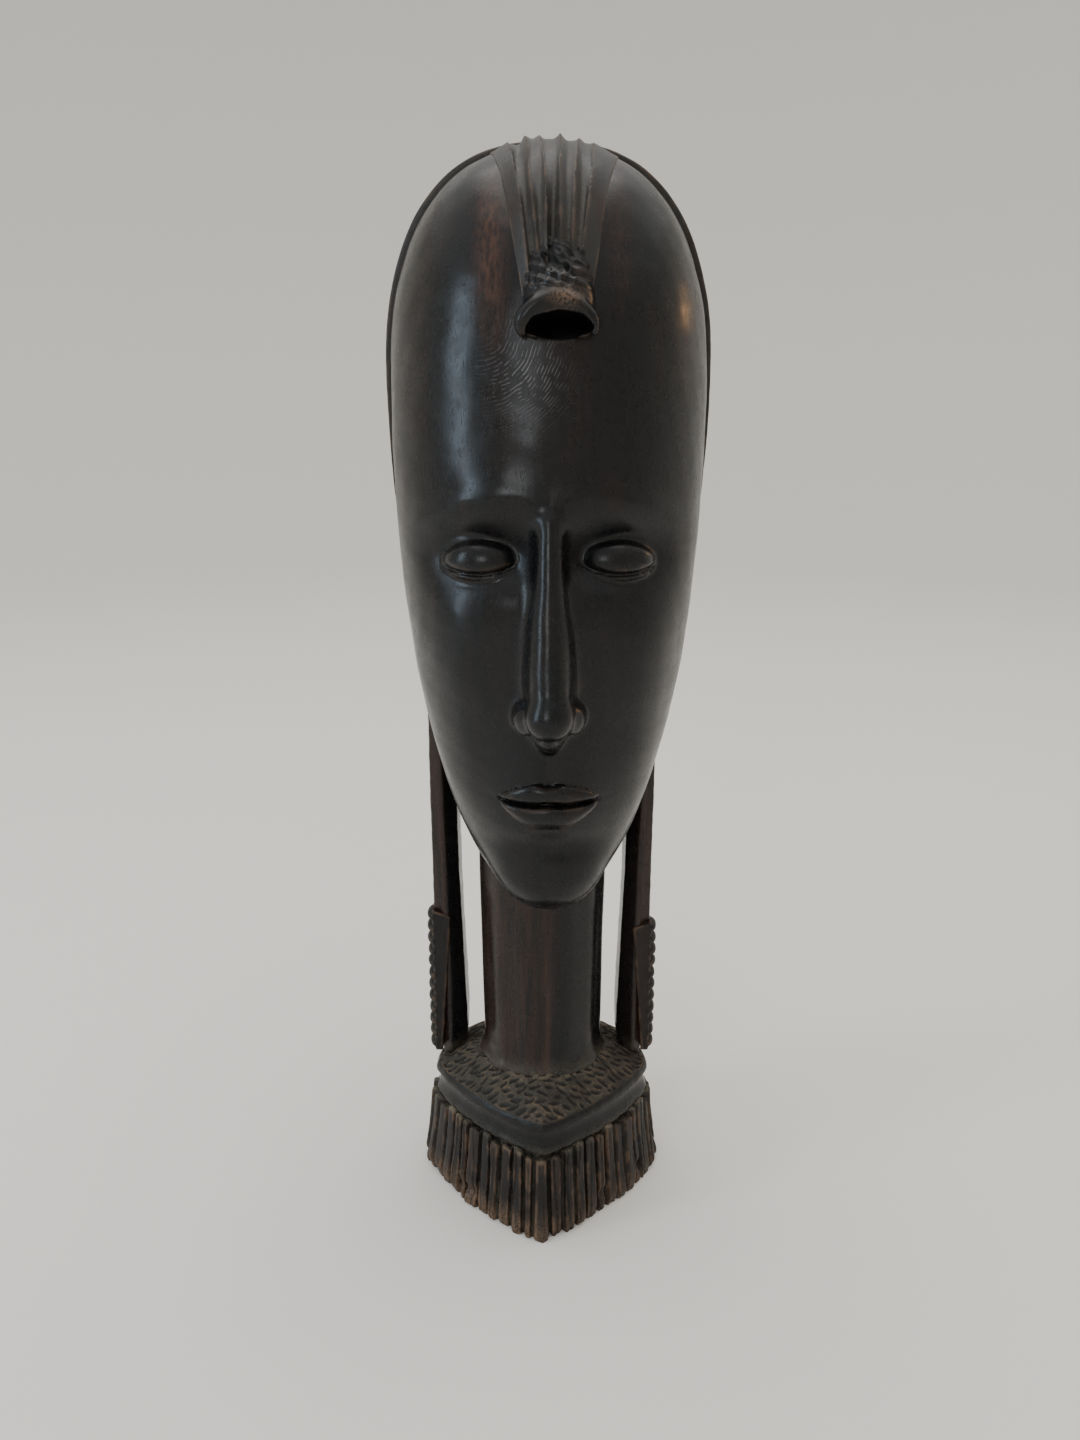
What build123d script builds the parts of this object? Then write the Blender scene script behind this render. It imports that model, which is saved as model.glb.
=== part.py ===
from build123d import *
from math import atan2, cos, pi, sin, sqrt, tan
import os

# Carved hardwood ancestor head: a long head with a combed crest and a forehead knot, on a column
# neck, with stretched ear lobes that reach down to a fringed shoulder plinth.
#
# The carving is one block of wood. Each carved member is a solid of its own here, and ends on the
# face of its neighbour, so that together they make up the block with no overlap.
#
# Millimetres. The origin is on the table under the axis of the neck. +Z is up, the face looks
# along -Y, and left and right are the viewer's: left is -X.

# ---------------------------------------------------------------- driving dimensions
# Head: a dome above its widest level and a long oval below it
HEAD_X = 1.4  # the head sits a little to the right of the neck
WIDEST_Y = -1.2
WIDEST_Z = 197.0
DOME_HEIGHT = 52.5
FACE_LENGTH = 117.0
HEAD_HALF_WIDTH = 35.0
HEAD_HALF_DEPTH = 39.0
HEAD_LEAN = 4.8  # degrees, chin forward of the crown

# Shoulder plinth
PLINTH_HALF_WIDTH = 32.0
PLINTH_FRONT = 32.5
PLINTH_BACK = 27.0
FRINGE_TOP_Z = 23.0
BAND_TOP_Z = 28.5
SHOULDER_TOP_Z = 36.5
FRINGE_TOP_SHARE = 0.9  # shares of the outline at the ground
BAND_FOOT_SHARE = 0.87
BAND_TOP_SHARE = 0.85
SHOULDER_EDGE_SHARE = 0.84
SHOULDER_TOP_SHARE = 0.6
SHOULDER_EDGE_HEIGHT = 2.0
FLUTES = 48
FLUTE_DEPTH = 1.1
FLUTE_FLAT = 0.7  # share of the pitch
OUTLINE_POINTS = 288
PLAIN_POINTS = 96

# Neck
NECK_RADIUS_FOOT = 15.0
NECK_RADIUS_TOP = 15.7
NECK_TOP_Z = 115.0

# Ears and stretched lobes
EAR_Y = 10.0
EAR_Z = 152.0
EAR_HALF_DEPTH = 9.0
EAR_HALF_HEIGHT = 23.0
EAR_RELIEF = 1.8
EAR_TILT = -8.0  # degrees, top leaning back
EAR_HOLLOW_SHARE = 0.62
LOBE_Y = 4.0
LOBE_SECTIONS = (  # height, inner side, outer side, half depth
    (31, 20.0, 26.2, 5.0),
    (45, 19.6, 27.4, 6.0),
    (83, 20.9, 27.6, 6.0),
    (118, 21.5, 27.8, 6.5),
    (146, 24.0, 28.2, 5.0),
)
ARRIS_SHARE = 0.55  # place of the arris between the inner and the outer side

# Beads hanging down each lobe
BEAD_PITCH = 3.3
BEAD_RADIUS = 1.45
BEAD_FOOT_Z = 35.0
BEAD_CENTRE_X = 27.8
BEADS_LEFT = 12
BEADS_RIGHT = 11
TONGUE_BACK_Y = 2.5
TONGUE_DEPTH = 5.5
TONGUE_FOOT_WIDTH = 1.4
TONGUE_TOP_WIDTH = 3.6

# Hair
CREST_X = 2.9  # the crest and the knot sit a little to the right of the head
HAIR_THICKNESS = 1.3
CREST_THICKNESS = 1.9
CREST_HALF_ANGLE = 10.0  # degrees, seen along the plait axis
PLAIT_ANGLE = 3.1
PLAITS_A_SIDE = 9
COMB_GROOVES = 6
COMB_ANGLE = 2.7
GROOVE_WIDTH = 0.8

# Forehead knot
KNOT_FOOT_Z = 210.0
KNOT_HALF_WIDTH = 8.2
KNOT_HEIGHT = 13.0
KNOT_FRONT = 42.5
KNOT_LIP = 1.7
KNOT_HOLLOW_HEIGHT = 5.6
KNOT_HOLLOW_DEPTH = 5.5

# ---------------------------------------------------------------- derived planes and levels
LEAN = HEAD_LEAN * pi / 180
CROWN_Z = WIDEST_Z + DOME_HEIGHT
HEAD_PLANE = Plane((HEAD_X, WIDEST_Y, WIDEST_Z), x_dir=(1, 0, 0), z_dir=(0, sin(LEAN), cos(LEAN)))

# The hair starts at a plane from ear to ear over the crown, and ends at a sloping nape plane
HAIRLINE_PLANE = Plane((0, -4, CROWN_Z), x_dir=(1, 0, 0), z_dir=(0, -112, -10))
NAPE_PLANE = Plane((0, 6, 131), x_dir=(1, 0, 0), z_dir=(0, 1, 1))

# Every plait runs in a plane through one line, which falls from the brow to the nape
PLAIT_FALL = atan2(45, 80)
PLAIT_PLANE = Plane((CREST_X, -45, 175), x_dir=(1, 0, 0), z_dir=(0, sin(PLAIT_FALL), cos(PLAIT_FALL)))
PLAIT_FRONT = PLAIT_PLANE.rotated((90, 0, 0))
PLAIT_REACH = 130.0
PLAIT_LENGTH = 140.0

# Face in the head's own frame, level 0 at its widest: hairline, brow, nose base and chin are
# equal steps apart, and the eyes lie half-way up the head
FACE_THIRD = 48.0
CHIN = -FACE_LENGTH
NOSE_BASE = CHIN + FACE_THIRD
BROW = NOSE_BASE + FACE_THIRD
EYE = (CHIN + DOME_HEIGHT) / 2
MOUTH = NOSE_BASE - FACE_THIRD / 3
EYE_WIDTH = 13.5  # one fifth of the face
HALF_EYE = EYE_WIDTH / 2
SKIN_TURN = 25.0  # degrees that the skin has turned back at the eyes


# ---------------------------------------------------------------- shared forms
def egg(grow=0.0):
    """The bare form of the head about its own centre, grown evenly."""
    radius = HEAD_HALF_WIDTH + grow
    with BuildPart() as form:
        with BuildSketch(Plane.XZ):
            with BuildLine():
                EllipticalCenterArc((0, 0), radius, DOME_HEIGHT + grow, start_angle=0, arc_size=90)
                EllipticalCenterArc((0, 0), radius, FACE_LENGTH + grow, start_angle=-90, arc_size=90)
                Line((0, -FACE_LENGTH - grow), (0, DOME_HEIGHT + grow))
            make_face()
        revolve(axis=Axis.Z)
        scale(by=(1, (HEAD_HALF_DEPTH + grow) / radius, 1))
    return form.part


def skull(grow=0.0):
    """The bare form of the head where it stands on the neck."""
    return egg(grow).moved(HEAD_PLANE.location)


def skin_y(x, level):
    """Front of the bare form, in the head's own frame."""
    return -HEAD_HALF_DEPTH * sqrt(1 - (x / HEAD_HALF_WIDTH) ** 2 - (level / FACE_LENGTH) ** 2)


def ellipsoid(x_radius, y_radius, z_radius):
    with BuildPart() as ball:
        Sphere(1)
        scale(by=(x_radius, y_radius, z_radius))
    return ball.part


# ---------------------------------------------------------------- shoulder plinth
def plinth_point(turn):
    """A point on the plinth's outline, which has a ridge in front and a round back."""
    at_front = cos(turn) > 0
    reach = -PLINTH_FRONT if at_front else PLINTH_BACK
    power = 1.3 if at_front else 2.2
    x = PLINTH_HALF_WIDTH * abs(sin(turn)) ** (2 / power)
    y = reach * abs(cos(turn)) ** (2 / power)
    return (x if sin(turn) > 0 else -x, y)


with BuildLine() as plinth_outline:
    Polyline(*[plinth_point(2 * pi * i / OUTLINE_POINTS) for i in range(OUTLINE_POINTS)], close=True)


def plain_plan(share):
    return [share * (plinth_outline.line @ (i / PLAIN_POINTS)) for i in range(PLAIN_POINTS)]


def fluted_plan(share):
    """Flat flutes of even width, with a narrow groove after each one."""
    points = []
    edge = (1 - FLUTE_FLAT) / 2
    for flute in range(FLUTES):
        points.append(share * (plinth_outline.line @ ((flute + edge) / FLUTES)))
        points.append(share * (plinth_outline.line @ ((flute + 1 - edge) / FLUTES)))
        rim = plinth_outline.line @ ((flute + 1) / FLUTES)
        points.append(share * (rim - rim.normalized() * FLUTE_DEPTH))
    return points


with BuildPart() as fringe_skirt:
    with BuildSketch(Plane.XY):
        Polygon(*fluted_plan(1.0), align=None)
    with BuildSketch(Plane.XY.offset(FRINGE_TOP_Z)):
        Polygon(*fluted_plan(FRINGE_TOP_SHARE), align=None)
    loft(ruled=True)

with BuildPart() as collar_band:
    with BuildSketch(Plane.XY.offset(FRINGE_TOP_Z)):
        Polygon(*plain_plan(BAND_FOOT_SHARE), align=None)
    with BuildSketch(Plane.XY.offset(BAND_TOP_Z)):
        Polygon(*plain_plan(BAND_TOP_SHARE), align=None)
    loft(ruled=True)

cap_sections = (
    (BAND_TOP_Z, BAND_FOOT_SHARE),
    (BAND_TOP_Z + SHOULDER_EDGE_HEIGHT, SHOULDER_EDGE_SHARE),
    (SHOULDER_TOP_Z, SHOULDER_TOP_SHARE),
)
with BuildPart() as shoulder_cap:
    for height, share in cap_sections:
        with BuildSketch(Plane.XY.offset(height)):
            Polygon(*plain_plan(share), align=None)
    loft(ruled=True)

# ---------------------------------------------------------------- neck
with BuildPart() as neck:
    with BuildSketch(Plane.XY.offset(SHOULDER_TOP_Z)):
        Circle(NECK_RADIUS_FOOT)
    with BuildSketch(Plane.XY.offset(NECK_TOP_Z)):
        Circle(NECK_RADIUS_TOP)
    loft()
    add(skull(), mode=Mode.SUBTRACT)


# ---------------------------------------------------------------- head with its face
def nose_section(level, half_width, height):
    """A bevelled ridge that stands out of the skin."""
    back, skin = skin_y(0, level) + 6, skin_y(0, level)
    top = half_width * 0.45
    return [(-half_width, back), (half_width, back), (half_width, skin), (top, skin - height),
            (-top, skin - height), (-half_width, skin)]


with BuildPart(HEAD_PLANE) as head:
    add(egg())
    # brows, closed eyelids and nose wings in pairs
    for side in (-1, 1):
        x = side * EYE_WIDTH
        with Locations(Location((x, skin_y(x, BROW) + 2.2, BROW), (0, 0, side * SKIN_TURN))):
            add(ellipsoid(10.5, 3.8, 3.4))
        with Locations(Location((x, skin_y(x, EYE) + 2.4, EYE), (0, 0, side * SKIN_TURN))):
            add(ellipsoid(HALF_EYE, 4.2, 4.4))
        with Locations((side * 4.2, skin_y(0, NOSE_BASE) - 2.5, NOSE_BASE + 2.4)):
            add(ellipsoid(2.6, 4.2, 3.0))
    # nose tip, lips and chin on the centre line
    with Locations((0, skin_y(0, NOSE_BASE) - 6, NOSE_BASE + 3.4)):
        add(ellipsoid(3.8, 4.2, 3.6))
    with Locations((0, skin_y(0, MOUTH) + 1.0, MOUTH + 2.2)):
        add(ellipsoid(10.2, 4.4, 2.7))
    with Locations((0, skin_y(0, MOUTH) + 1.4, MOUTH - 2.4)):
        add(ellipsoid(8.8, 5.2, 3.1))
    with Locations((0, skin_y(0, CHIN + 10) + 4.2, CHIN + 9.5)):
        add(ellipsoid(9, 6.5, 7.5))
    # nose bridge
    for level, half_width, height in ((BROW - 2, 2.6, 1.4), (EYE - 8, 3.2, 4.2), (NOSE_BASE + 2, 4.6, 8.6)):
        with BuildSketch(HEAD_PLANE.offset(level)):
            Polygon(*nose_section(level, half_width, height), align=None)
    loft()


# ---------------------------------------------------------------- ears
def ear_disc(share):
    """Bar through the head, seen from the side as an upright oval that leans back a little."""
    with BuildPart() as disc:
        with BuildSketch(Plane.YZ):
            with Locations((EAR_Y, EAR_Z)):
                Ellipse(share * EAR_HALF_DEPTH, share * EAR_HALF_HEIGHT, rotation=EAR_TILT)
        extrude(amount=2 * HEAD_HALF_WIDTH, both=True)
    return disc.part


with BuildPart() as ear_hollow:
    add(ear_disc(EAR_HOLLOW_SHARE))
    add(skull(EAR_RELIEF * 0.4), mode=Mode.SUBTRACT)

with BuildPart() as ear_pair:
    add(skull(EAR_RELIEF))
    add(ear_disc(1.0), mode=Mode.INTERSECT)
    add(ear_hollow.part, mode=Mode.SUBTRACT)
    add(skull(), mode=Mode.SUBTRACT)

with BuildPart() as ear_right:
    add(ear_pair.part)
    split(bisect_by=Plane.YZ, keep=Keep.TOP)

with BuildPart() as ear_left:
    add(ear_pair.part)
    split(bisect_by=Plane.YZ, keep=Keep.BOTTOM)


# ---------------------------------------------------------------- hair
def plait_grooves(turns, floor):
    """Thin plates through the plait line, one for each turn in degrees, down to a floor in the hair."""
    with BuildPart() as plates:
        with BuildSketch(PLAIT_FRONT):
            for turn in turns:
                Rectangle(GROOVE_WIDTH, PLAIT_REACH, rotation=turn, align=(Align.CENTER, Align.MIN))
        extrude(amount=PLAIT_LENGTH, both=True)
        add(skull(floor), mode=Mode.SUBTRACT)
    return plates.part


with BuildPart() as hair_cap:
    add(skull(HAIR_THICKNESS))
    split(bisect_by=HAIRLINE_PLANE, keep=Keep.BOTTOM)
    split(bisect_by=NAPE_PLANE, keep=Keep.TOP)
    plait_turns = [side * (i + 0.5) * 2 * PLAIT_ANGLE for side in (-1, 1) for i in range(PLAITS_A_SIDE)]
    add(plait_grooves(plait_turns, HAIR_THICKNESS * 0.4), mode=Mode.SUBTRACT)
    add(skull(), mode=Mode.SUBTRACT)
    add(ear_disc(1.0), mode=Mode.SUBTRACT)

with BuildPart() as hair_crest:
    with BuildSketch(PLAIT_FRONT):
        half_span = PLAIT_REACH * tan(CREST_HALF_ANGLE * pi / 180)
        Polygon((0, 0), (half_span, PLAIT_REACH), (-half_span, PLAIT_REACH), align=None)
    extrude(amount=PLAIT_LENGTH, both=True)
    add(skull(CREST_THICKNESS), mode=Mode.INTERSECT)
    split(bisect_by=HAIRLINE_PLANE, keep=Keep.TOP)
    split(bisect_by=Plane.XY.offset(KNOT_FOOT_Z + KNOT_HEIGHT / 2), keep=Keep.TOP)
    comb_turns = [(i - (COMB_GROOVES - 1) / 2) * COMB_ANGLE for i in range(COMB_GROOVES)]
    add(plait_grooves(comb_turns, CREST_THICKNESS * 0.45), mode=Mode.SUBTRACT)
    add(skull(), mode=Mode.SUBTRACT)

# ---------------------------------------------------------------- forehead knot
KNOT_FOOT = (CREST_X, KNOT_FOOT_Z)

with BuildPart() as forehead_knot:
    # arch, seen from the front
    with BuildSketch(Plane.XZ):
        with Locations(KNOT_FOOT):
            Ellipse(KNOT_HALF_WIDTH, KNOT_HEIGHT)
    extrude(amount=KNOT_FRONT)
    split(bisect_by=Plane.XY.offset(KNOT_FOOT_Z), keep=Keep.TOP)
    # the top slopes down to the lip
    with BuildSketch(Plane.YZ):
        Polygon((-KNOT_FRONT, KNOT_FOOT_Z + KNOT_HOLLOW_HEIGHT + KNOT_LIP), (-KNOT_FRONT, CROWN_Z),
                (-32, CROWN_Z), (-34, KNOT_FOOT_Z + KNOT_HEIGHT), align=None)
    extrude(amount=CREST_X + 2 * KNOT_HALF_WIDTH, both=True, mode=Mode.SUBTRACT)
    # hollow under the lip, open below
    with BuildSketch(Plane.XZ.offset(KNOT_FRONT - KNOT_HOLLOW_DEPTH)):
        with Locations(KNOT_FOOT):
            Ellipse(KNOT_HALF_WIDTH - KNOT_LIP, KNOT_HOLLOW_HEIGHT)
    extrude(amount=KNOT_HOLLOW_DEPTH, mode=Mode.SUBTRACT)
    add(skull(), mode=Mode.SUBTRACT)
    add(hair_crest.part, mode=Mode.SUBTRACT)


# ---------------------------------------------------------------- beads and ear lobes
def bead_drop(side, beads):
    """A tapered tongue with a string of beads, down the outer front edge of a lobe; side 1 is the right."""
    top = BEAD_FOOT_Z + beads * BEAD_PITCH
    tongue = ((BEAD_CENTRE_X - TONGUE_FOOT_WIDTH, BEAD_FOOT_Z), (BEAD_CENTRE_X, BEAD_FOOT_Z),
              (BEAD_CENTRE_X, top), (BEAD_CENTRE_X - TONGUE_TOP_WIDTH, top))
    bead_levels = [BEAD_FOOT_Z + (i + 0.5) * BEAD_PITCH for i in range(beads)]
    with BuildPart() as drop:
        with BuildSketch(Plane.XZ.offset(-TONGUE_BACK_Y)):
            Polygon(*[(side * x, z) for x, z in tongue], align=None)
            with Locations(*[(side * BEAD_CENTRE_X, level) for level in bead_levels]):
                Circle(BEAD_RADIUS)
        extrude(amount=TONGUE_DEPTH)
    return drop.part


with BuildPart() as bead_drop_right:
    add(bead_drop(1, BEADS_RIGHT))

with BuildPart() as bead_drop_left:
    add(bead_drop(-1, BEADS_LEFT))


def lobe_strap(side):
    """A flat strap with an arris down its front, from the shoulder up into the head."""
    with BuildPart() as strap:
        for height, inner, outer, half_depth in LOBE_SECTIONS:
            arris = inner + ARRIS_SHARE * (outer - inner)
            plan = ((inner, LOBE_Y - 0.5 * half_depth), (arris, LOBE_Y - half_depth),
                    (outer, LOBE_Y - 0.4 * half_depth), (outer, LOBE_Y + half_depth),
                    (inner, LOBE_Y + half_depth))
            with BuildSketch(Plane.XY.offset(height)):
                Polygon(*[(side * x, y) for x, y in plan], align=None)
        loft(ruled=True)
        for neighbour in (skull(), hair_cap.part, shoulder_cap.part):
            add(neighbour, mode=Mode.SUBTRACT)
    return strap.part


with BuildPart() as ear_lobe_right:
    add(lobe_strap(1))
    add(ear_right.part, mode=Mode.SUBTRACT)
    add(bead_drop_right.part, mode=Mode.SUBTRACT)

with BuildPart() as ear_lobe_left:
    add(lobe_strap(-1))
    add(ear_left.part, mode=Mode.SUBTRACT)
    add(bead_drop_left.part, mode=Mode.SUBTRACT)

# ---------------------------------------------------------------- labels and files
nodes = {
    "fringe_skirt": fringe_skirt,
    "collar_band": collar_band,
    "shoulder_cap": shoulder_cap,
    "neck": neck,
    "head": head,
    "forehead_knot": forehead_knot,
    "hair_crest": hair_crest,
    "hair_cap": hair_cap,
    "ear_left": ear_left,
    "ear_right": ear_right,
    "ear_lobe_left": ear_lobe_left,
    "ear_lobe_right": ear_lobe_right,
    "bead_drop_left": bead_drop_left,
    "bead_drop_right": bead_drop_right,
}

os.makedirs("parts", exist_ok=True)
for node_name, node in nodes.items():
    node.part.label = node_name
    export_step(node.part, f"parts/{node_name}.step")
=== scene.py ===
"""Looks of the carved blackwood head.

Every carved member is an implicit solid: a field that is negative inside the wood. The field is
meshed, the mesh is settled on the exact surface, and the same field says where the wood is worn
(edges), and where dust lies and shade is painted dark (hollows). Lengths are millimetres until a
mesh is made, in metres.
"""
import math

import bpy
import numpy as np
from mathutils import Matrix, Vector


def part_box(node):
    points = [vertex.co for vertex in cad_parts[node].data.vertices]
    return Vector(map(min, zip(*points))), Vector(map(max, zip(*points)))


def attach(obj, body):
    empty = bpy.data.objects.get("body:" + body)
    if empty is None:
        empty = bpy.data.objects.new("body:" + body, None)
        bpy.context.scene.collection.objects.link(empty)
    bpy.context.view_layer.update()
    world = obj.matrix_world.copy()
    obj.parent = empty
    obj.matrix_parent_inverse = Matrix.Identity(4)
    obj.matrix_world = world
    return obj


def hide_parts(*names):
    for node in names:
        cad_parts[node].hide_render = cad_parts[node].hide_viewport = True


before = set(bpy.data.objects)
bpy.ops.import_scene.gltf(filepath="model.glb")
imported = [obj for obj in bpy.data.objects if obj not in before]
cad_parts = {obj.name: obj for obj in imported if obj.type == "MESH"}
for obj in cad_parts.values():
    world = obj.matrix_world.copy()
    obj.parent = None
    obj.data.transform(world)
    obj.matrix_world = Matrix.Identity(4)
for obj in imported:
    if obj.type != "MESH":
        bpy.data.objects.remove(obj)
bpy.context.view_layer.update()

import openvdb
from mathutils import Vector

MM = 0.001
FAR = 1e3


# ---------------------------------------------------------------- sizes, from the frame
def box_mm(node):
    """Lowest and highest corner of a CAD node."""
    low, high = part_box(node)
    return np.array(low) / MM, np.array(high) / MM


HEAD_LOW, HEAD_HIGH = box_mm("head")
EAR_LOW, EAR_HIGH = box_mm("ear_right")
LOBE_LOW, LOBE_HIGH = box_mm("ear_lobe_right")
SKIRT_LOW, SKIRT_HIGH = box_mm("fringe_skirt")
BAND_LOW, BAND_HIGH = box_mm("collar_band")
CAP_LOW, CAP_HIGH = box_mm("shoulder_cap")
NECK_LOW, NECK_HIGH = box_mm("neck")
KNOT_LOW, KNOT_HIGH = box_mm("forehead_knot")

# Head: a dome above its widest level and a long oval below it, leaning chin forward
LEAN = math.radians(4.8)
HALF_WIDTH = (HEAD_HIGH[0] - HEAD_LOW[0]) / 2
HALF_DEPTH = HALF_WIDTH * 39 / 35
HEAD_HEIGHT = HEAD_HIGH[2] - HEAD_LOW[2]
DOME_SHARE = 0.3097
DOME = DOME_SHARE * HEAD_HEIGHT
FACE = HEAD_HEIGHT - DOME
DOME_POWER = 2.6  # 2 would be a plain ellipse
HEAD_X = (HEAD_HIGH[0] + HEAD_LOW[0]) / 2
HEAD_CENTRE = np.array((HEAD_X, HEAD_HIGH[1] - HALF_DEPTH, HEAD_HIGH[2] - DOME * math.cos(LEAN)))

# Face, in the head's own frame: hairline, brow, nose base and chin are equal steps apart
THIRD = 0.41 * FACE
CHIN = -FACE
NOSE_BASE = CHIN + THIRD
BROW = NOSE_BASE + THIRD
EYE = (CHIN + DOME) / 2
MOUTH = NOSE_BASE - THIRD / 3
EYE_X = 0.2 * 2 * HALF_WIDTH * 0.96  # eyes one eye's width apart, five to the face
FRONT_Y, SIDE_Y = -14, -2  # the face fades out between these two depths

# Knot over the forehead: its middle, half width, front and foot
KNOT_X = (KNOT_LOW[0] + KNOT_HIGH[0]) / 2
KNOT_HALF = (KNOT_HIGH[0] - KNOT_LOW[0]) / 2
KNOT_FRONT = KNOT_LOW[1]
KNOT_FOOT = KNOT_LOW[2]

# Hair: a hairline plane over the crown from ear to ear, a nape plane, and the plait line
CROWN_Z = HEAD_CENTRE[2] + DOME
HAIRLINE_POINT = np.array((0.0, -4.0, CROWN_Z))
HAIRLINE_NORMAL = np.array((0.0, -0.996, -0.089))
NAPE_POINT = np.array((0.0, 6.0, EAR_LOW[2] + 1.8))
NAPE_NORMAL = np.array((0.0, 0.7071, 0.7071))
PLAIT_POINT = np.array((KNOT_X, HEAD_CENTRE[1] - 43.8, HEAD_CENTRE[2] - 22.0))
PLAIT_FALL = math.atan2(45, 80)
PLAIT_STEP = 3.1  # degrees about the plait line
HAIR_THICKNESS = 1.6
EAR_LEAN = math.radians(8)

# Plinth outline: a ridge in front, a round back
PLINTH_HALF_WIDTH = SKIRT_HIGH[0]
PLINTH_FRONT = -SKIRT_LOW[1]
PLINTH_BACK = SKIRT_HIGH[1]
PLINTH_REACH = 28.0  # turns a share of the outline into millimetres, nearly
FRONT_POWER = 1.3
BACK_POWER = 2.2
FLUTES = 48


# ---------------------------------------------------------------- implicit shapes
def smooth_min(a, b, rounding):
    """The lower of two fields (both solids together), with their meeting rounded."""
    share = np.clip(0.5 + 0.5 * (b - a) / rounding, 0, 1)
    return b + (a - b) * share - rounding * share * (1 - share)


def smooth_max(a, b, rounding):
    """The higher of two fields (what is in both solids), with their meeting rounded."""
    return -smooth_min(-a, -b, rounding)


def step(low, high, x):
    """Smooth rise from 0 at low to 1 at high."""
    t = np.clip((x - low) / (high - low), 0, 1)
    return t * t * (3 - 2 * t)


def bump(x, width):
    """1 at x = 0, falling to nothing on both sides."""
    return np.exp(-((x / width) ** 2))


TINY = 1e-9  # keeps a division from meeting 0


def ellipsoid(x, y, z, centre, radii, turn=0.0):
    """Near-distance to an ellipsoid, turned about Z by an angle in degrees."""
    c, s = math.cos(math.radians(turn)), math.sin(math.radians(turn))
    dx, dy, dz = x - centre[0], y - centre[1], z - centre[2]
    u, v, w = (c * dx + s * dy) / radii[0], (c * dy - s * dx) / radii[1], dz / radii[2]
    k0 = np.sqrt(u * u + v * v + w * w) + TINY
    k1 = np.sqrt((u / radii[0]) ** 2 + (v / radii[1]) ** 2 + (w / radii[2]) ** 2) + TINY
    return k0 * (k0 - 1) / k1


def wobble(x, y, z, wavelength, seed):
    """Smooth uneven hand-work, about -1 to 1: a few crossed waves."""
    rng = np.random.default_rng(100 + seed)
    waves = 5
    total = 0.0
    for _ in range(waves):
        direction = rng.normal(size=3)
        direction *= 2 * math.pi / (wavelength * rng.uniform(0.7, 1.5) * np.linalg.norm(direction))
        start = rng.uniform(0, 6.3)
        total = total + np.sin(direction[0] * x + direction[1] * y + direction[2] * z + start)
    return total / 3.0


def cell_noise(i, j, seed=0):
    """A steady random number from 0 to 1 for each whole-number cell."""
    n = np.sin(i * 127.1 + j * 311.7 + seed * 74.7) * 43758.5453
    return n - np.floor(n)


# ---------------------------------------------------------------- meshing a field
BLOCK = 8  # grid points along a block's edge
BLOCKS_AT_ONCE = 2000
FIELD_ERROR = 1.5  # a field may be this far from the true distance
SETTLE_ROUNDS = 4
BEND_SCALE = 0.7


def sample(field, low, pitch, blocks):
    """Field values on a grid, worked out only in the blocks that the surface may cross."""
    block_size = BLOCK * pitch
    index = np.stack(np.meshgrid(*[np.arange(n) for n in blocks], indexing="ij"), -1).reshape(-1, 3)
    centres = low + (index + 0.5) * block_size - 0.5 * pitch
    middle = field(*centres.T)
    near = np.abs(middle) < 0.95 * np.linalg.norm(block_size) + FIELD_ERROR
    values = np.empty((blocks[0], BLOCK, blocks[1], BLOCK, blocks[2], BLOCK), np.float32)
    values[:] = np.where(middle > 0, FAR, -FAR).reshape(blocks)[:, None, :, None, :, None]
    offsets = np.stack(np.meshgrid(*[np.arange(BLOCK)] * 3, indexing="ij"), -1).reshape(-1, 3) * pitch
    for part in np.array_split(np.flatnonzero(near), max(1, near.sum() // BLOCKS_AT_ONCE)):
        points = (low + index[part] * block_size)[:, None, :] + offsets[None]
        found = field(*points.reshape(-1, 3).T).reshape(-1, BLOCK, BLOCK, BLOCK)
        i, j, k = index[part].T
        values[i, :, j, :, k, :] = found
    return values.reshape([n * BLOCK for n in blocks])


def gradient(field, points, h=0.06):
    """Slope of the field at each point, over twice the distance h."""
    slopes = []
    for axis in np.eye(3) * h:
        slopes.append(field(*(points + axis).T) - field(*(points - axis).T))
    return np.stack(slopes, -1) / (2 * h)


def bend(field, points, h):
    """How far the surface bends outwards (over 0) or inwards (under 0) at the scale h."""
    around = sum(field(*(points + side * axis).T) for axis in np.eye(3) * h for side in (-1, 1))
    return (around - 6 * field(*points.T)) / h


def quad_mesh(name, points, quads):
    """Smooth mesh of four-sided faces."""
    mesh = bpy.data.meshes.new(name)
    mesh.vertices.add(len(points))
    mesh.vertices.foreach_set("co", points.ravel())
    mesh.loops.add(quads.size)
    mesh.loops.foreach_set("vertex_index", quads.astype(np.int32).ravel())
    mesh.polygons.add(len(quads))
    mesh.polygons.foreach_set("loop_start", np.arange(0, quads.size, 4, dtype=np.int32))
    mesh.update(calc_edges=True)
    mesh.polygons.foreach_set("use_smooth", np.ones(len(quads), bool))
    return mesh


def settle(field, points, longest):
    """Moves the points onto the field's zero, by no more than the longest step in each round."""
    for _ in range(SETTLE_ROUNDS):
        slope = gradient(field, points)
        size = np.maximum((slope ** 2).sum(1), 0.05)
        move = (field(*points.T) / size)[:, None] * slope
        reach = np.linalg.norm(move, axis=1, keepdims=True)
        points -= move * np.minimum(1, longest / np.maximum(reach, TINY))
    return points


def surface(field, low, high, pitch):
    """Points and quads of the field's zero."""
    low = np.asarray(low, float) - 2 * pitch
    high = np.asarray(high, float) + 2 * pitch
    blocks = [int(n) for n in np.ceil((high - low) / (BLOCK * pitch))]
    grid = openvdb.FloatGrid(FAR)
    grid.copyFromArray(sample(field, low, pitch, blocks))
    points, quads = grid.convertToQuads()
    points = low + points.astype(float) * pitch
    return settle(field, points, 0.4 * pitch.min()), quads


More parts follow.
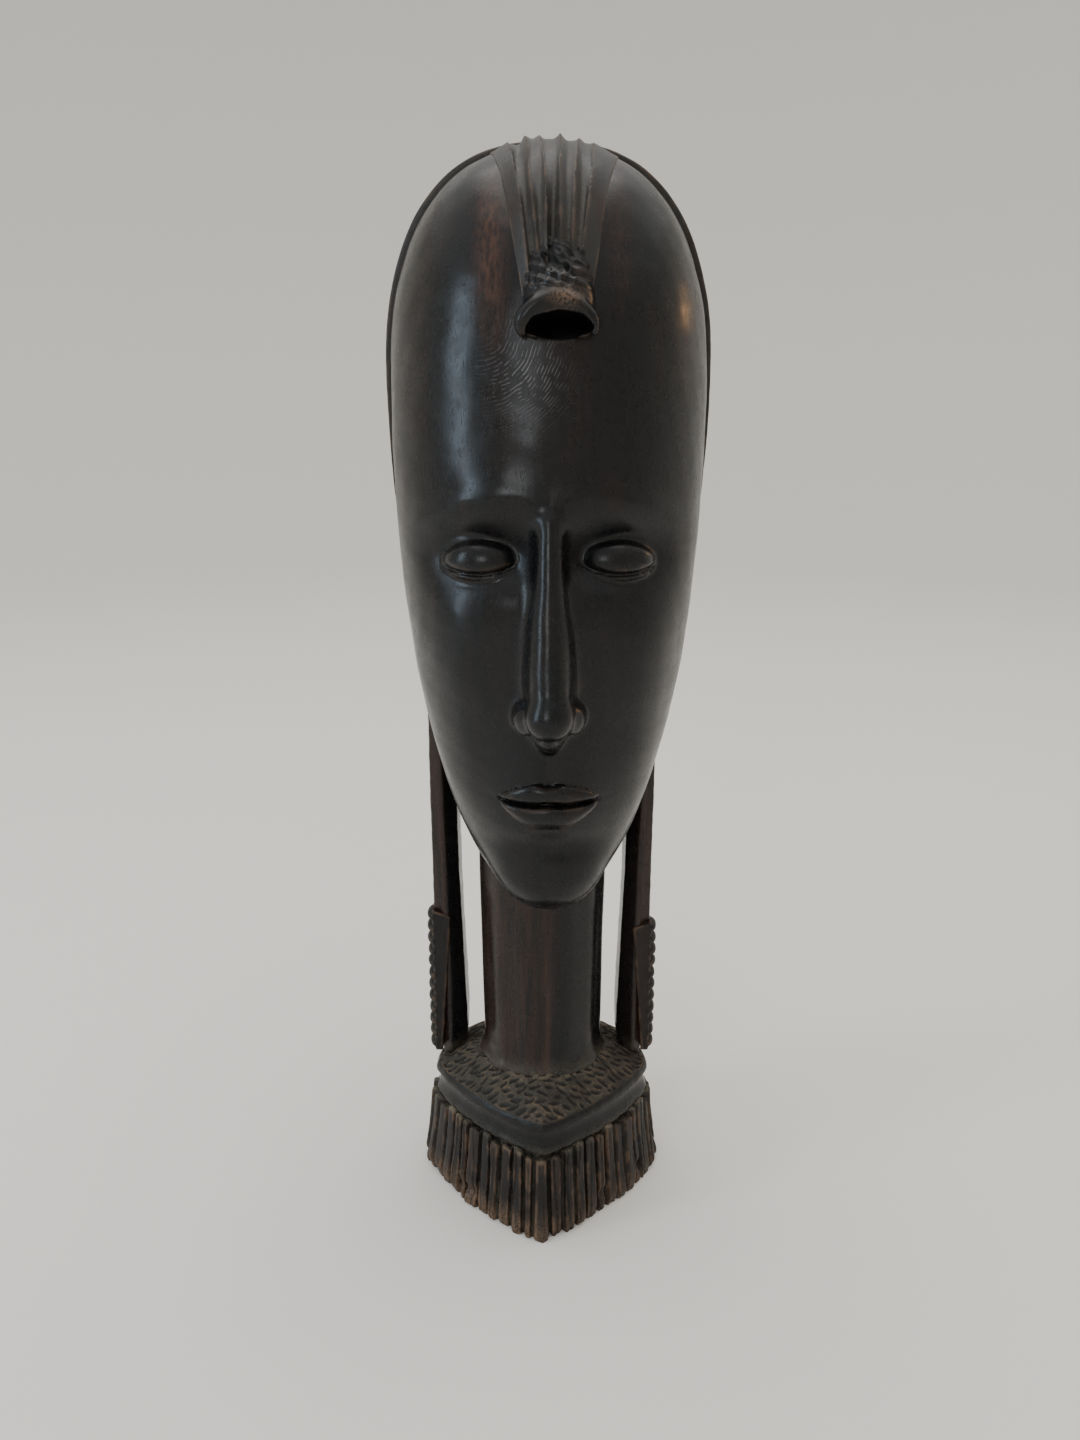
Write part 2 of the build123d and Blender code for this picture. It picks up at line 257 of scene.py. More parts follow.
def put_marks(mesh, field, points, marks):
    """Stores where the wood is an edge or a hollow, and the piece's own marks."""
    bent = bend(field, points, BEND_SCALE)
    found = {"edge": step(0.25, 1.3, bent), "hollow": step(0.15, 1.0, -bent)}
    for name, rule in marks.items():
        found[name] = rule(*points.T)
    for name, value in found.items():
        attribute = mesh.attributes.new(name, "FLOAT", "POINT")
        attribute.data.foreach_set("value", np.asarray(value, np.float32))


def carve(name, field, low, high, pitch, marks):
    """Makes the piece whose surface is the field's zero, with its wear, dust, painted shade and streak
    marks.
    """
    points, quads = surface(field, low, high, np.broadcast_to(np.asarray(pitch, float), 3))
    mesh = quad_mesh(name, points * MM, quads)
    normals = gradient(field, points)
    normals /= np.maximum(np.linalg.norm(normals, axis=1, keepdims=True), TINY)
    mesh.normals_split_custom_set_from_vertices(normals.tolist())
    put_marks(mesh, field, points, marks)
    piece = bpy.data.objects.new(name, mesh)
    bpy.context.scene.collection.objects.link(piece)
    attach(piece, "root")
    print(name, len(quads), "quads")
    return piece


# ---------------------------------------------------------------- head
def to_head(x, y, z):
    """Row frame to the head's own frame, with its origin at the widest level."""
    dy, dz = y - HEAD_CENTRE[1], z - HEAD_CENTRE[2]
    c, s = math.cos(LEAN), math.sin(LEAN)
    return x - HEAD_X, dy * c - dz * s, dz * c + dy * s


def egg(x, y, z):
    """The bare form of the head, in its own frame: its dome is fuller than an ellipse."""
    rx, ry = HALF_WIDTH, HALF_DEPTH
    blend = 28
    above = step(-blend, blend, z)
    rz = FACE + (DOME - FACE) * above
    power = 2 + (DOME_POWER - 2) * above
    across = np.hypot(x / rx, y / ry) + TINY
    up = np.abs(z) / rz + TINY
    size = (across ** power + up ** power) ** (1 / power)
    slope_across = (across / size) ** (power - 1) * np.hypot(x / rx ** 2, y / ry ** 2) / across
    slope_up = (up / size) ** (power - 1) / rz
    return (size - 1) / (np.hypot(slope_across, slope_up) + TINY)


def skull(x, y, z):
    """The bare form of the head, in the row frame."""
    return egg(*to_head(x, y, z))


def skin_y(x, level):
    """Front of the bare form, in the head's own frame."""
    inside = 1 - (x / HALF_WIDTH) ** 2 - (level / FACE) ** 2
    return -HALF_DEPTH * np.sqrt(np.maximum(inside, 0))


def face_relief(x, z):
    """Gentle relief of the face over the bare form, by place across and up it."""
    side = np.abs(x)
    brow = 1.5 * bump(z - (BROW - 0.5 - 0.018 * (side - 12) ** 2), 4.2) * bump(side - 13, 13)
    socket = 4.2 * bump(side - EYE_X, 9.5) * bump(z - (EYE + 0.5), 6.5)
    inner_corner = 2.2 * bump(side - 6.5, 4.0) * bump(z - (EYE + 1), 7.0)
    cheek = 1.6 * bump(side - 20, 9) * bump(z - (EYE - 19), 13)
    cheek_fold = 0.9 * bump(side - 13, 6) * bump(z - (MOUTH + 9), 13)
    mouth_swell = 2.2 * bump(x, 14) * bump(z - MOUTH, 11)
    chin_crease = 1.3 * bump(x, 9) * bump(z - (MOUTH - 11.5), 3.2)
    lip_groove = 0.55 * bump(x, 1.9) * step(MOUTH + 3, MOUTH + 6, z)
    lip_groove *= step(NOSE_BASE + 1, NOSE_BASE - 2, z)
    raised = brow + cheek + mouth_swell
    return raised - socket - inner_corner - cheek_fold - chin_crease - lip_groove


def lips(x, z):
    """Relief of the closed lips."""
    span = 11.2
    across = np.clip(1 - (x / span) ** 2, 0, 1)
    slit = MOUTH + 0.4 * bump(x, 2.2) + 0.7 * (x / span) ** 2
    top = slit + 0.2 + 5.0 * across ** 0.8 - 0.9 * bump(x, 2.0)
    foot = slit - 0.2 - 6.0 * across ** 0.9
    up = np.clip((z - slit) / (top - slit), 0, 1)
    down = np.clip((slit - z) / (slit - foot), 0, 1)
    share = np.where(z > slit, up, down)
    arch = np.sqrt(np.clip(share * (1 - share) * 4, 0, 1))
    inside = step(0.0, 0.25, across)
    swell = np.where(z > slit, 1.7, 2.3) * arch * inside * across ** 0.35
    return swell - 0.9 * bump(z - slit, 0.55) * step(-0.02, 0.1, across)


def nose(x, y, z):
    """A long straight nose with a rounded tip, wings and nostrils."""
    root = np.array((0, skin_y(0, BROW - 5) + 1.6, BROW - 5))
    tip = np.array((0, skin_y(0, NOSE_BASE + 5) - 6.8, NOSE_BASE + 5))
    along = tip - root
    t = np.clip(((y - root[1]) * along[1] + (z - root[2]) * along[2]) / (along @ along), 0, 1)
    centre_y, centre_z = root[1] + t * along[1], root[2] + t * along[2]
    radius = 2.6 + 0.8 * t
    sideways, forwards = x * (1.0 - 0.1 * t), 0.8 * (y - centre_y)
    bridge = np.sqrt(sideways ** 2 + forwards ** 2 + (z - centre_z) ** 2) - radius
    side, skin = np.abs(x), skin_y(0, NOSE_BASE)
    flank_centre = (0, skin_y(0, NOSE_BASE + 14) + 3.0, NOSE_BASE + 15)
    flank = ellipsoid(side, y, z, flank_centre, (6.0, 9.0, 19.0))
    ball = ellipsoid(x, y, z, (0, tip[1] - 0.2, NOSE_BASE + 4.6), (4.4, 4.4, 4.3))
    wing = ellipsoid(side, y, z, (4.7, skin - 2.6, NOSE_BASE + 3.8), (2.9, 4.6, 3.6), -12)
    body = smooth_min(smooth_min(bridge, flank, 3.0), ball, 2.5)
    body = smooth_min(body, wing, 1.6)
    nostril = ellipsoid(side, y, z, (3.0, skin - 4.0, NOSE_BASE + 0.4), (1.5, 2.4, 1.9), -15)
    return smooth_max(body, -nostril, 0.8)


def eyes(x, y, z):
    """Closed lids over the eyeballs, with a lowered lash line and a crease above it."""
    turn = 24
    lid_centre = (EYE_X, skin_y(EYE_X, EYE) + 7.6, EYE - 1.0)
    lid = ellipsoid(np.abs(x), y, z, lid_centre, (8.6, 7.4, 6.2), turn)
    off = np.abs(x) - EYE_X
    lash = EYE - 3.6 + 0.030 * off ** 2 - 0.06 * off
    crease = EYE + 3.4 - 0.035 * off ** 2
    lash_cut = 0.95 * bump(z - lash, 0.55) + 0.45 * step(0.2, 1.8, lash - z)
    crease_cut = 0.4 * bump(z - crease, 0.7)
    return lid + (lash_cut + crease_cut) * step(8.8, 6.8, np.abs(off))


def head_field(x, y, z):
    """Bare form, face and hand-work, with the knot's hollow cut out."""
    hollow = knot_hollow(x, y, z)
    x, y, z = to_head(x, y, z)
    front = step(SIDE_Y, FRONT_Y, y)
    base = egg(x, y, z) - front * face_relief(x, z)
    d = smooth_min(base, eyes(x, y, z) + 6 * (1 - front), 1.2)
    chin = ellipsoid(x, y, z, (0, skin_y(0, CHIN + 15) + 6.8, CHIN + 13.5), (10.5, 9.5, 9.5))
    d = smooth_min(d, chin, 7.0)
    d = smooth_min(d, nose(x, y, z), 2.2)
    d = d - front * lips(x, z) * step(16, 12, np.abs(x))
    d = d - 0.10 * wobble(x, y, z, 17, 1) - 0.03 * wobble(x, y, z, 6, 2)
    return smooth_max(d, -hollow, 0.5)


# ---------------------------------------------------------------- hair
def plait_angle(x, y, z):
    """Angle about the plait line in degrees, and the distance from that line."""
    dy, dz = y - PLAIT_POINT[1], z - PLAIT_POINT[2]
    up = dy * math.sin(PLAIT_FALL) + dz * math.cos(PLAIT_FALL)
    dx = x - PLAIT_POINT[0]
    return np.degrees(np.arctan2(dx, up)), np.hypot(dx, up)


def beyond(point, normal, y, z):
    """Distance past a plane that holds the X direction."""
    return (y - point[1]) * normal[1] + (z - point[2]) * normal[2]


def ear_oval(y, z):
    """Near-distance outside the ear's outline, seen from the side."""
    centre_y, centre_z = (EAR_LOW[1] + EAR_HIGH[1]) / 2, (EAR_LOW[2] + EAR_HIGH[2]) / 2
    half_y, half_z = 9.0, (EAR_HIGH[2] - EAR_LOW[2]) / 2
    c, s = math.cos(EAR_LEAN), math.sin(EAR_LEAN)
    dy, dz = y - centre_y, z - centre_z
    v, w = dy * c - dz * s, dz * c + dy * s
    k = np.sqrt((v / half_y) ** 2 + (w / half_z) ** 2) + TINY
    slope = np.sqrt((v / half_y ** 2) ** 2 + (w / half_z ** 2) ** 2) / k + TINY
    return (k - 1) / slope


def hair_field(x, y, z):
    """Raised hair with a plain rolled edge along the hairline and plaits behind it."""
    hairline = beyond(HAIRLINE_POINT, HAIRLINE_NORMAL, y, z)
    nape = beyond(NAPE_POINT, NAPE_NORMAL, y, z)
    angle, reach = plait_angle(x, y, z)
    number = np.round(angle / PLAIT_STEP)
    across = np.abs(angle / PLAIT_STEP - number) * 2
    bare, off_ear = skull(x, y, z), ear_oval(y, z)
    plaited = step(-3.0, -4.2, hairline) * step(2.5, 4, nape) * step(8, 20, reach)
    plaited = plaited * step(0.5, 2.5, off_ear)
    twist = 0.5 + 0.5 * np.sin((y * 0.6 - z * 0.8) * 2.3 + number * 2.1 + across * 2.2)
    relief = plaited * (0.25 - 0.95 * across ** 3 - 0.22 * twist)
    d = smooth_max(bare - (HAIR_THICKNESS + relief), hairline, 0.7)
    d = smooth_max(d, -nape, 0.8)
    d = smooth_max(d, -off_ear, 0.5)
    return np.maximum(d, -0.8 - bare) - 0.04 * wobble(x, y, z, 7, 3)


# Ridges of the crest: degrees about the plait line, and heights over the dome
RIDGES = np.array((-9.6, -7.1, -4.7, -2.3, 0.4, 3.1, 5.6, 9.0))
RIDGE_HEIGHTS = np.array((0.2, 1.1, 1.6, 1.5, 1.8, 1.4, 1.1, 0.2))


def crest_field(x, y, z):
    """Fan of hair from the knot to the crown, cut with a gouge into channels between sharp ridges."""
    bare, hairline = skull(x, y, z), beyond(HAIRLINE_POINT, HAIRLINE_NORMAL, y, z)
    angle, reach = plait_angle(x, y, z)
    angle = angle + 0.18 * np.sin(reach * 0.21 + 1.0) * np.sin(angle * 0.9)
    per_degree = reach * math.pi / 180
    channel = np.clip(np.searchsorted(RIDGES, angle) - 1, 0, len(RIDGES) - 2)
    left, right = RIDGES[channel], RIDGES[channel + 1]
    share = np.clip((angle - left) / (right - left), 0, 1)
    height = RIDGE_HEIGHTS[channel] * (1 - share) + RIDGE_HEIGHTS[channel + 1] * share

    # the outer channels are left nearly flat
    inner = (channel > 0) & (channel < len(RIDGES) - 2)
    depth = np.where(inner, 1.05 + 0.25 * np.sin(channel * 2.4), 0.15)
    hollow = depth * 4 * share * (1 - share) * (0.8 + 0.2 * np.sin(reach * 0.16 + channel * 2.0))
    nick = 0.10 * np.sin(angle * per_degree * 2.6 + 1.2 * np.sin(reach * 0.11 + channel)) * inner
    thickness = np.maximum(height - hollow + nick, 0.12) * (0.75 + 0.25 * step(30, 62, reach))
    edge = np.maximum(RIDGES[0] - angle, angle - RIDGES[-1]) * per_degree

    d = smooth_max(bare - thickness, edge, 0.3)
    d = smooth_max(d, -hairline - 0.3, 0.4)
    d = smooth_max(d, KNOT_FOOT + 6.0 - z, 0.5)
    return np.maximum(d, -1.0 - bare) - 0.04 * wobble(x, y, z, 5, 4)


def knot_hollow(x, y, z):
    """Lens of a hollow under the knot's lip, which runs on into the forehead."""
    centre = (KNOT_X + 0.4, KNOT_FRONT + 4.5, KNOT_FOOT - 0.4)
    arch = ellipsoid(x, y, z, centre, (KNOT_HALF - 1.1, 8.0, 4.9))
    floor = KNOT_FOOT - 0.9 + 0.04 * (x - KNOT_X) ** 2
    return smooth_max(arch, floor - z, 0.8)


def zigzag(turns):
    """Straight rises and falls between 0 and 1, one rise and fall for each whole turn."""
    return np.abs(2 * (turns - np.floor(turns + 0.5)))


def knot_hood(u, y, z):
    """Squared hood, torn across its top. u is the place across it."""
    squared = u * np.sqrt(np.abs(u) / KNOT_HALF)
    centre = (0, KNOT_FRONT + 9.8, KNOT_FOOT + 0.8)
    hood = ellipsoid(squared, y, z, centre, (KNOT_HALF - 0.6, 9.6, 17.5))
    splinters = zigzag(z / 2.1 + u * 0.17) + 0.8 * zigzag(u / 2.4 - y * 0.31) - 0.9
    hood = hood + 0.5 * splinters * step(KNOT_FOOT + 7.5, KNOT_FOOT + 9.5, z)
    slope = (z - (KNOT_FOOT + 10.6 - 0.030 * u * u)) * 0.62 - (y - (KNOT_FRONT + 1.2)) * 0.78
    torn = 1.5 * zigzag(u / 6.7 + z * 0.11 + 0.2) + 0.9 * zigzag(u / 3.9 - z * 0.07 + 0.55)
    torn = torn + 0.7 * zigzag(z / 2.6 + u * 0.16) + 0.4 * zigzag(u / 1.7 + z * 0.3) - 1.5
    behind = step(KNOT_FRONT + 1.2, KNOT_FRONT + 2.6, y)
    return smooth_max(hood, slope + behind * torn, 0.4)


def knot_lip(u, y, z):
    """Roll along an arch over the hollow, thinner on the right and towards both ends."""
    half, height = KNOT_HALF - 1.3, 6.7
    across, up = u / half, (z - KNOT_FOOT + 0.4) / height
    share = np.hypot(across, up) + TINY
    off_arch = (share - 1) * share / (np.hypot(across / half, up / height) + TINY)
    radius = (1.6 - 0.3 * u / KNOT_HALF) * (1 - 0.4 * step(KNOT_FOOT + 3.0, KNOT_FOOT - 0.5, z))
    return np.hypot(off_arch, 0.75 * (y - KNOT_FRONT - 2.2)) - radius


def knot_field(x, y, z):
    """Hooded knot: a rolled lip over a hollow, and torn wood behind the lip."""
    u = x - KNOT_X
    d = smooth_min(knot_hood(u, y, z), knot_lip(u, y, z), 1.0)
    d = smooth_max(d, KNOT_FOOT - 1.0 + 0.006 * u * u - z, 1.6)
    d = smooth_max(d, -knot_hollow(x, y, z), 0.9)
    return np.maximum(d, -1.5 - skull(x, y, z)) - 0.08 * wobble(x, y, z, 4, 5)


def knot_torn_and_hollow_shade(x, y, z):
    """Dark torn wood on the slope behind the lip, and painted shade inside the knot's hollow."""
    behind = step(KNOT_FRONT + 2.0, KNOT_FRONT + 3.2, y) * step(KNOT_FOOT + 9.0, KNOT_FOOT + 11.0, z)
    return np.maximum(behind, painted_hollow_shade(x, y, z))


def painted_hollow_shade(x, y, z):
    """Painted shade: the inside of the knot's hollow, coloured dark."""
    return step(0.35, -0.1, knot_hollow(x, y, z)) * step(KNOT_FRONT + 1.2, KNOT_FRONT + 3.0, y)


# ---------------------------------------------------------------- ears and lobes
def ear_field(side):
    """Low ear with a rolled rim, a hollow and a small flap in front: side 1 is right, -1 is left."""

    def field(x, y, z):
        bare, outside = skull(x, y, z), ear_oval(y, z)
        rim = 1.25 * bump(outside + 1.7, 1.3)
        bowl = -0.9 * step(-2.8, -4.6, outside)
        fold = 0.8 * bump(outside + 5.6, 0.9) * step(EAR_LOW[1] + 6, EAR_LOW[1] + 11, y)
        flap = 1.1 * bump(y - (EAR_LOW[1] + 3.2), 1.8) * bump(z - (EAR_LOW[2] + 17), 3.4)
        rise = 0.4 + 0.6 * step(EAR_LOW[1], EAR_LOW[1] + 8, y)
        thickness = (1.3 + rim + bowl + fold + flap) * rise
        d = smooth_max(bare - thickness, outside, 0.8)
        d = np.maximum(d, -1.0 - bare)
        return np.maximum(d, 5 - side * x) - 0.04 * wobble(x, y, z, 5, 8)

    return field


# Right lobe: its inner and outer side and half depth at a few levels, foot first
LOBE_Y = (LOBE_LOW[1] + LOBE_HIGH[1]) / 2
LOBE_LEVELS = (31.0, 38.0, 45.0, 83.0, 118.0, 140.0)
LOBE_INNER = (21.2, 19.7, 19.6, 20.9, 21.5, 23.5)
LOBE_OUTER = (25.4, 27.0, 27.4, 27.6, 27.8, 28.0)
LOBE_DEPTH = (4.0, 5.8, 6.0, 6.0, 6.5, 6.0)
ARRIS_SHARE = 0.55
BEAD_PITCH = 3.3
BEAD_X = 27.9
BEAD_Y = LOBE_Y - 3.4
BEAD_FOOT_Z = 35.0


def lobe_size(z, sizes):
    """A size of the lobe at a level."""
    return np.interp(z, LOBE_LEVELS, sizes)


def lobe_field(x, y, z):
    """Right lobe: a strap with an arris down its front, rounded where it meets the shoulder."""
    inner, outer, depth = lobe_size(z, LOBE_INNER), lobe_size(z, LOBE_OUTER), lobe_size(z, LOBE_DEPTH)
    dy = y - LOBE_Y
    off_arris = x - (inner + ARRIS_SHARE * (outer - inner))
    d = smooth_max(x - outer, inner - x, 0.8)
    d = smooth_max(d, np.abs(dy) - depth, 0.9)
    d = smooth_max(d, (-dy - depth) * 0.86 + off_arris * 0.50, 0.5)
    d = smooth_max(d, (-dy - depth) * 0.82 - off_arris * 0.57, 0.5)
    d = smooth_max(d, (LOBE_LOW[2] + 0.5) - z + 0.12 * (x - 23.5) ** 2 * (x > 0), 1.2)
    d = smooth_max(d, z - (LOBE_HIGH[2] + 1), 1.0)
    return d - 0.12 * wobble(x, y, z, 11, 9) - 0.04 * wobble(x, y, z, 4, 10)


def bead_field(beads):
    """Tapered tongue down the outer front edge of the right lobe, notched into a string of beads."""
    top = BEAD_FOOT_Z + beads * BEAD_PITCH

    def field(x, y, z):
        share = np.clip((z - BEAD_FOOT_Z) / (top - BEAD_FOOT_Z), 0, 1)
        width = 2.0 + 2.9 * share
        off_middle = np.abs(x - (BEAD_X + 0.1 - width / 2))
        tongue = smooth_max(off_middle - width / 2, np.abs(y - BEAD_Y) - 2.9, 0.6)
        number = np.clip(np.round((z - BEAD_FOOT_Z) / BEAD_PITCH - 0.5), 0, beads - 1)
        middle = BEAD_FOOT_Z + (number + 0.5) * BEAD_PITCH
        size = 1.55 + 0.22 * (cell_noise(number, beads) - 0.5)
        bead = ellipsoid(x, y, z - middle, (BEAD_X, BEAD_Y, 0), (size, 3.1, size * 1.02))
        d = smooth_min(tongue, bead, 0.35)
        d = smooth_max(d, z - top - 0.35 * (x - BEAD_X), 0.5)
        return smooth_max(d, BEAD_FOOT_Z - 0.4 - z, 0.6) - 0.05 * wobble(x, y, z, 3.4, 11)

    return field


def mirrored(field):
    """The same field on the other side."""
    return lambda x, y, z: field(-x, y, z)


# ---------------------------------------------------------------- neck and plinth
NECK_RADIUS = 15.0


def neck_field(x, y, z):
    """Column neck with faint knife facets and a small flare at its foot."""
    turn = np.arctan2(y, x)
    share = (z - NECK_LOW[2]) / (NECK_HIGH[2] - NECK_LOW[2])
    taper, flare = 0.9 * share, 1.3 * bump(z - NECK_LOW[2] + 1.0, 2.6)
    facets = 0.16 * np.cos(11 * turn + 0.6) + 0.10 * np.sin(7 * turn + 0.03 * z)
    d = np.hypot(x, y) - (NECK_RADIUS + taper + flare + facets)
    d = smooth_max(d, NECK_LOW[2] - 2.5 - z, 0.5)
    d = smooth_max(d, z - NECK_HIGH[2] - 5.0, 0.5)
    return d - 0.10 * wobble(x, y, z * 0.4, 9, 12)


def plinth_share(x, y):
    """1 on the plinth's outline at the ground, less inside."""
    front = y < 0
    power = np.where(front, FRONT_POWER, BACK_POWER)
    reach = np.where(front, PLINTH_FRONT, PLINTH_BACK)
    least = 1e-6
    u, v = np.abs(x) / PLINTH_HALF_WIDTH + least, np.abs(y) / reach + least
    return (u ** power + v ** power) ** (1 / power)


def outline_table():
    """Turn and distance walked along a quarter of the outline, in front and at the back."""
    points = 400
    turn = np.linspace(0, math.pi / 2, points)
    tables = []
    for reach, power in ((PLINTH_FRONT, FRONT_POWER), (PLINTH_BACK, BACK_POWER)):
        px, py = PLINTH_HALF_WIDTH * np.sin(turn) ** (2 / power), reach * np.cos(turn) ** (2 / power)
        walked = np.concatenate([[0], np.cumsum(np.hypot(np.diff(px), np.diff(py)))])
        tables.append((turn, walked))
    return tables


OUTLINE = outline_table()
FRONT_LENGTH, BACK_LENGTH = OUTLINE[0][1][-1], OUTLINE[1][1][-1]
FLUTE_PITCH = 2 * (FRONT_LENGTH + BACK_LENGTH) / FLUTES


def walked(x, y):
    """Distance along the outline from the front ridge, over 0 on the right."""
    front = y < 0
    half_power = np.where(front, FRONT_POWER, BACK_POWER) / 2
    reach = np.where(front, PLINTH_FRONT, PLINTH_BACK)
    turn = np.arctan2((np.abs(x) / PLINTH_HALF_WIDTH) ** half_power, (np.abs(y) / reach) ** half_power)
    ahead = np.interp(turn, *OUTLINE[0])
    behind = FRONT_LENGTH + BACK_LENGTH - np.interp(turn, *OUTLINE[1])
    return np.where(front, ahead, behind) * np.where(x < 0, -1, 1)


def skirt_field(x, y, z):
    """Fringe: flat upright strands between knife-cut grooves, ragged at the top, worn at the foot."""
    top = SKIRT_HIGH[2]
    place = walked(x, y) / FLUTE_PITCH + 0.5

    # grooves, each with its own lean, drift, width and depth
    nearest = np.round(place)
    lean = (cell_noise(nearest, 1) - 0.5) * 0.30 * (z / top - 0.5)
    drift = (cell_noise(nearest, 2) - 0.5) * 0.34
    off = np.abs(place - nearest - drift - lean) * FLUTE_PITCH
    width = 0.55 + 0.35 * cell_noise(nearest, 3)
    groove = (1.0 + 0.6 * cell_noise(nearest, 4)) * np.maximum(0, 1 - (off / width) ** 1.4)

    # strands between them: a knife line on most, a crown, a ragged top, bites and a worn foot
    strand = np.floor(place)
    line = strand + 0.35 + 0.3 * cell_noise(strand, 9) + 0.12 * np.sin(z * 0.2 + strand)
    line_width = 0.33
    off_line = np.abs(place - line) * FLUTE_PITCH
    fine = 0.35 * (cell_noise(strand, 10) > 0.35) * np.maximum(0, 1 - off_line / line_width)
    crown = 0.12 * np.sin(math.pi * (place - strand)) + 0.7 * (cell_noise(strand, 5) - 0.5)
    ragged = top - 0.1 - 2.0 * cell_noise(strand, 6) - 0.9 * np.abs(place - strand - 0.5)
    bite = 1.1 * bump(z - 9 * cell_noise(strand, 11), 1.6) * (cell_noise(strand, 12) > 0.72)
    foot = 1.1 * bump(z, 0.9 + 1.6 * cell_noise(strand, 7)) * (0.4 + 1.0 * cell_noise(strand, 8))

    share = 1.0 - 0.095 * (z / top) - 0.012 * np.sin(math.pi * z / top)
    outside = (plinth_share(x, y) - share) * PLINTH_REACH
    d = outside + groove + fine - crown + foot + bite
    d = smooth_max(d, z - np.where(outside > -1.8, ragged, top), 0.5)
    return smooth_max(d, SKIRT_LOW[2] - z, 0.15) - 0.12 * wobble(x, y, z * 0.5, 4, 13)


def band_field(x, y, z):
    """Plain hollowed band between the fringe and the shoulders."""
    foot_share, hollowing, taper, height = 0.872, 0.020, 0.012, 5.5
    rise = (z - BAND_LOW[2]) / height
    share = foot_share - hollowing * np.sin(math.pi * np.clip(rise, 0, 1)) - taper * rise
    d = (plinth_share(x, y) - share) * PLINTH_REACH
    d = smooth_max(d, z - BAND_HIGH[2], 0.3)
    return smooth_max(d, BAND_LOW[2] - 1.0 - z, 0.3) - 0.06 * wobble(x, y, z, 6, 14)


# Shoulders: their height at a few shares of the plinth's outline, and the rim's own share
CAP_SHARES = (0.0, 0.50, 0.60, 0.72, 0.80, 0.845, 0.875)
CAP_HEIGHTS = (8.2, 8.1, 7.3, 5.0, 3.1, 2.2, 1.2)
CAP_RIM_SHARE = 0.878


def cap_field(x, y, z):
    """Sloping shoulders, chip-carved with short slanting dashes between the neck and a plain rim."""
    share = plinth_share(x, y)
    height = CAP_LOW[2] + np.interp(share, CAP_SHARES, CAP_HEIGHTS)

    # dashes in rows, each with its own place, slant and size
    row_pitch, dash_pitch, depth = 1.55, 3.3, 0.62
    row = np.floor(y / row_pitch)
    along = x / dash_pitch + 0.5 * (row % 2) + 0.5 * cell_noise(row, 21)
    dash = np.floor(along)
    du = (along - dash - 0.5 - 0.3 * (cell_noise(row, dash, 22) - 0.5)) * dash_pitch
    slant = 0.9 * (cell_noise(row, dash, 25) - 0.5)
    dv = y - (row + 0.5) * row_pitch - 0.6 * (cell_noise(row, dash, 23) - 0.5) - slant * du
    size = 0.6 + 0.6 * cell_noise(row, dash, 24)
    chip = np.clip(1 - (du / (1.6 * size)) ** 2 - (dv / (0.5 * size + 0.14)) ** 2, 0, 1) ** 0.7
    chip = chip * step(0.852, 0.835, share) * step(0.47, 0.52, share)

    d = (z - height + depth * chip) * 0.8
    d = smooth_max(d, (share - CAP_RIM_SHARE) * PLINTH_REACH, 0.8)
    return smooth_max(d, CAP_LOW[2] - 0.4 - z, 0.2) - 0.06 * wobble(x, y, z, 4, 15)


# ---------------------------------------------------------------- marks for the materials
def head_streak(x, y, z):
    """Red-brown heartwood: beside the crest, faint on its other side, and down the forehead."""
    below_crown = step(246, 232, z)
    top = KNOT_HIGH[2]
    beside = bump(x - (KNOT_X - 13.0), 2.6) * step(KNOT_FOOT - 6, top - 2, z) * below_crown
    other_side = 0.30 * bump(x - (KNOT_X + 12.0), 2.6) * step(KNOT_FOOT - 4, top + 4, z)
    middle = 0.12 * bump(x - KNOT_X, 7.0) * step(KNOT_FOOT - 45, KNOT_FOOT - 10, z)
    return (beside + other_side + middle) * step(0, -8, y)


def head_scuff(x, y, z):
    """Fine arc scratches on the forehead under the knot."""
    return bump(x - (KNOT_X - 6.0), 6.0) * bump(z - (KNOT_FOOT - 7.0), 7.0) * step(0, -10, y)


def knot_rub(x, y, z):
    """Brown rubbed spot on the lip."""
    return bump(x - (KNOT_X + 1.5), 3.0) * bump(z - (KNOT_FOOT + 6.6), 1.6)


def neck_streak(x, y, z):
    """The left of the column is red-brown, with one brighter streak in the middle of its front."""
    return 0.36 * step(2.0, -3.0, x) * step(4, -4, y) + 0.55 * bump(x - 1.2, 1.2) * step(0, -8, y)


def neck_settle(x, y, z):
    """Dust round the neck's foot."""
    return 0.8 * bump(z - NECK_LOW[2], 2.2)


def lobe_streak(x, y, z):
    """Red-brown outer face of both lobes."""
    return 0.45 * step(23.0, 25.5, np.abs(x))


def lobe_settle(x, y, z):
    """Dust round the lobes' feet."""
    return 0.7 * bump(z - (LOBE_LOW[2] + 4.0), 2.5)


def skirt_rub(x, y, z):
    """Worn tips along the foot, more on the left and in front."""
    return (0.45 + 0.55 * step(8, -10, x)) * step(8.5, 1.0, z) * (0.5 + 0.5 * step(0, -12, y))


def skirt_settle(x, y, z):
    """Dust on the tops of the strands."""
    return 0.8 * step(SKIRT_HIGH[2] - 2.6, SKIRT_HIGH[2] - 0.6, z)


def band_settle(x, y, z):
    """Dust along the foot of the band."""
    return 0.5 * bump(z - BAND_LOW[2], 0.8)


def cap_settle(x, y, z):
    """Dust on the shoulders, most of it near the neck."""
    inwards = step(0.72, 0.50, plinth_share(x, y))
    return (0.35 + 0.5 * inwards) * step(CAP_LOW[2] + 1.4, CAP_LOW[2] + 2.4, z)


def cap_smooth(x, y, z):
    """Dark smooth rim of the shoulders."""
    return step(CAP_LOW[2] + 2.1, CAP_LOW[2] + 1.5, z)


